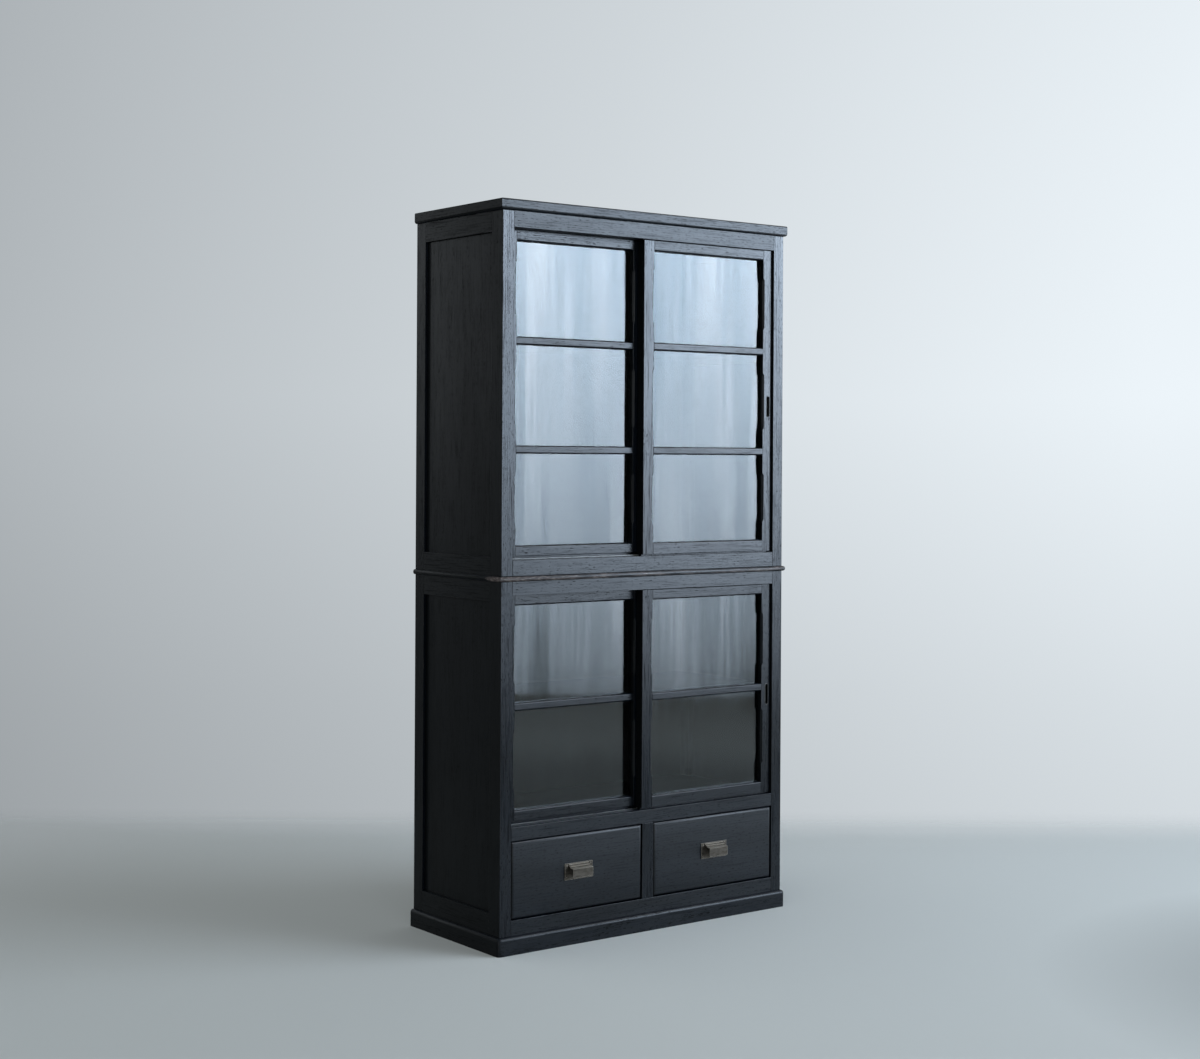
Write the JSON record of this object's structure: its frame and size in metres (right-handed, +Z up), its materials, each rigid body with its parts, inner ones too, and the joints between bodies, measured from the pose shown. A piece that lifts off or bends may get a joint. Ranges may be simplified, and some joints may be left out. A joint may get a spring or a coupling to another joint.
{
  "type": "mizuya kitchen cabinet",
  "caption": "Tall two-tier kitchen cabinet of ebonised wood with sliding glazed doors in both tiers, shelves inside and two hooded-pull drawers in the foot.",
  "frame": {"origin": "on the floor under the middle of the whole outline, pulls included", "axes": "+X to the right of someone facing the doors, -Y out of the front, +Z up"},
  "size_m": [0.916, 0.406, 1.8],
  "materials": {
    "ebonised_wood": "satin black stain over open grain",
    "inner_wood": "plain dark stained boards",
    "old_glass": "slightly wavy old sheet glass",
    "aged_brass": "dull brown patina"
  },
  "bodies": {
    "case": {"cornice_board": "ebonised_wood", "upper_front_posts": "ebonised_wood", "upper_back_posts": "ebonised_wood", "upper_head_rail": "ebonised_wood", "upper_sill_rail": "ebonised_wood", "upper_side_rails": "ebonised_wood", "upper_side_panels": "ebonised_wood", "upper_back_boards": "inner_wood", "upper_floor_board": "inner_wood", "upper_shelves": "inner_wood", "upper_shelf_cleats": "inner_wood", "waist_board": "ebonised_wood", "lower_front_posts": "ebonised_wood", "lower_back_posts": "ebonised_wood", "lower_head_rail": "ebonised_wood", "lower_sill_rail": "ebonised_wood", "lower_foot_rail": "ebonised_wood", "drawer_divider": "ebonised_wood", "lower_side_rails": "ebonised_wood", "lower_side_panels": "ebonised_wood", "lower_back_boards": "inner_wood", "lower_floor_board": "inner_wood", "lower_shelf": "inner_wood", "lower_shelf_cleats": "inner_wood", "drawer_bed_board": "inner_wood", "drawer_guides": "inner_wood", "plinth_front_board": "ebonised_wood", "plinth_side_and_back_boards": "ebonised_wood"},
    "upper_left_door": {"upper_left_door_pull_stile": "ebonised_wood", "upper_left_door_meeting_stile": "ebonised_wood", "upper_left_door_rails": "ebonised_wood", "upper_left_door_muntins": "ebonised_wood", "upper_left_door_panes": "old_glass"},
    "upper_right_door": {"upper_right_door_pull_stile": "ebonised_wood", "upper_right_door_meeting_stile": "ebonised_wood", "upper_right_door_rails": "ebonised_wood", "upper_right_door_muntins": "ebonised_wood", "upper_right_door_panes": "old_glass"},
    "lower_left_door": {"lower_left_door_pull_stile": "ebonised_wood", "lower_left_door_meeting_stile": "ebonised_wood", "lower_left_door_rails": "ebonised_wood", "lower_left_door_muntins": "ebonised_wood", "lower_left_door_panes": "old_glass"},
    "lower_right_door": {"lower_right_door_pull_stile": "ebonised_wood", "lower_right_door_meeting_stile": "ebonised_wood", "lower_right_door_rails": "ebonised_wood", "lower_right_door_muntins": "ebonised_wood", "lower_right_door_panes": "old_glass"},
    "left_drawer": {"left_drawer_front": "ebonised_wood", "left_drawer_sides": "inner_wood", "left_drawer_back": "inner_wood", "left_drawer_bottom": "inner_wood", "left_drawer_pull": "aged_brass", "left_drawer_pull_pins": "aged_brass"},
    "right_drawer": {"right_drawer_front": "ebonised_wood", "right_drawer_sides": "inner_wood", "right_drawer_back": "inner_wood", "right_drawer_bottom": "inner_wood", "right_drawer_pull": "aged_brass", "right_drawer_pull_pins": "aged_brass"}
  },
  "joints": [
    {"name": "upper_left_door_slide", "type": "slide", "parent": "case", "child": "upper_left_door", "axis": [1, 0, 0], "range_m": [0, 0.4005]},
    {"name": "upper_right_door_slide", "type": "slide", "parent": "case", "child": "upper_right_door", "axis": [1, 0, 0], "range_m": [-0.4005, 0]},
    {"name": "lower_left_door_slide", "type": "slide", "parent": "case", "child": "lower_left_door", "axis": [1, 0, 0], "range_m": [0, 0.4005]},
    {"name": "lower_right_door_slide", "type": "slide", "parent": "case", "child": "lower_right_door", "axis": [1, 0, 0], "range_m": [-0.4005, 0]},
    {"name": "left_drawer_slide", "type": "slide", "parent": "case", "child": "left_drawer", "axis": [0, -1, 0], "range_m": [0, 0.28]},
    {"name": "right_drawer_slide", "type": "slide", "parent": "case", "child": "right_drawer", "axis": [0, -1, 0], "range_m": [0, 0.28]}
  ]
}
